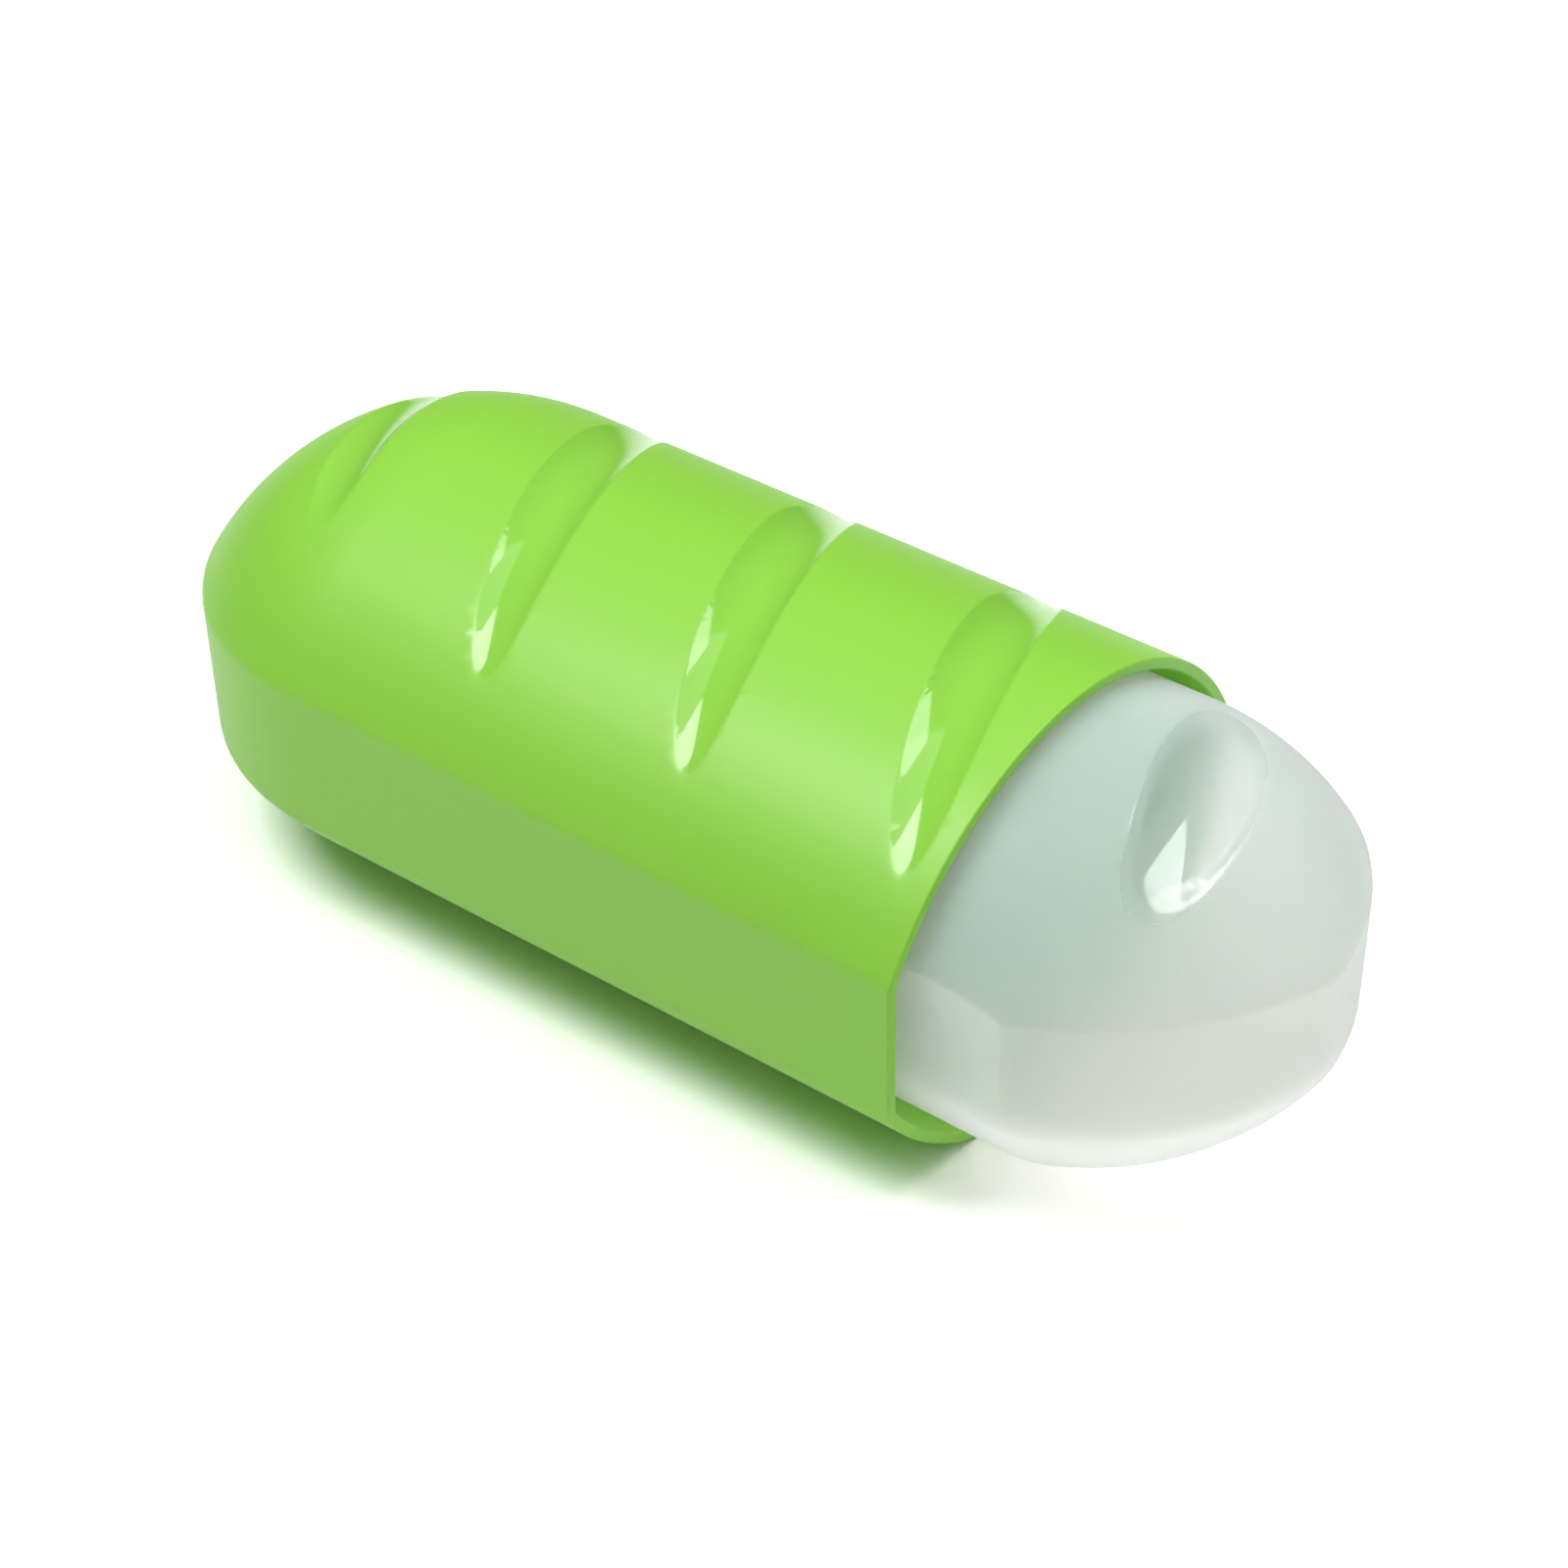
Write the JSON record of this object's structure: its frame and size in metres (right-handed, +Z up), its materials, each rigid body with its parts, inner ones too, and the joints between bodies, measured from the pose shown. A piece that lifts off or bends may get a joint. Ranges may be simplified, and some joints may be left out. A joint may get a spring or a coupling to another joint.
{
  "type": "sandwich box",
  "caption": "Loaf-shaped telescoping sandwich box: a green sleeve with slanted score slashes and a frosted sleeve that slides out of its mouth.",
  "frame": {"origin": "middle of the underside of the shut box's bounding box, on the table it stands on", "axes": "+X from the closed green end to the frosted nose, +Z up, +Y across the loaf"},
  "size_m": [0.2333, 0.1, 0.0794],
  "materials": {
    "green_plastic": "satin",
    "frosted_plastic": "frosted"
  },
  "bodies": {
    "outer": {"outer_shell": "green_plastic"},
    "inner": {"inner_shell": "frosted_plastic"}
  },
  "joints": [
    {"name": "inner_slide", "type": "slide", "parent": "outer", "child": "inner", "axis": [1, 0, 0], "range_m": [0, 0.135]}
  ]
}
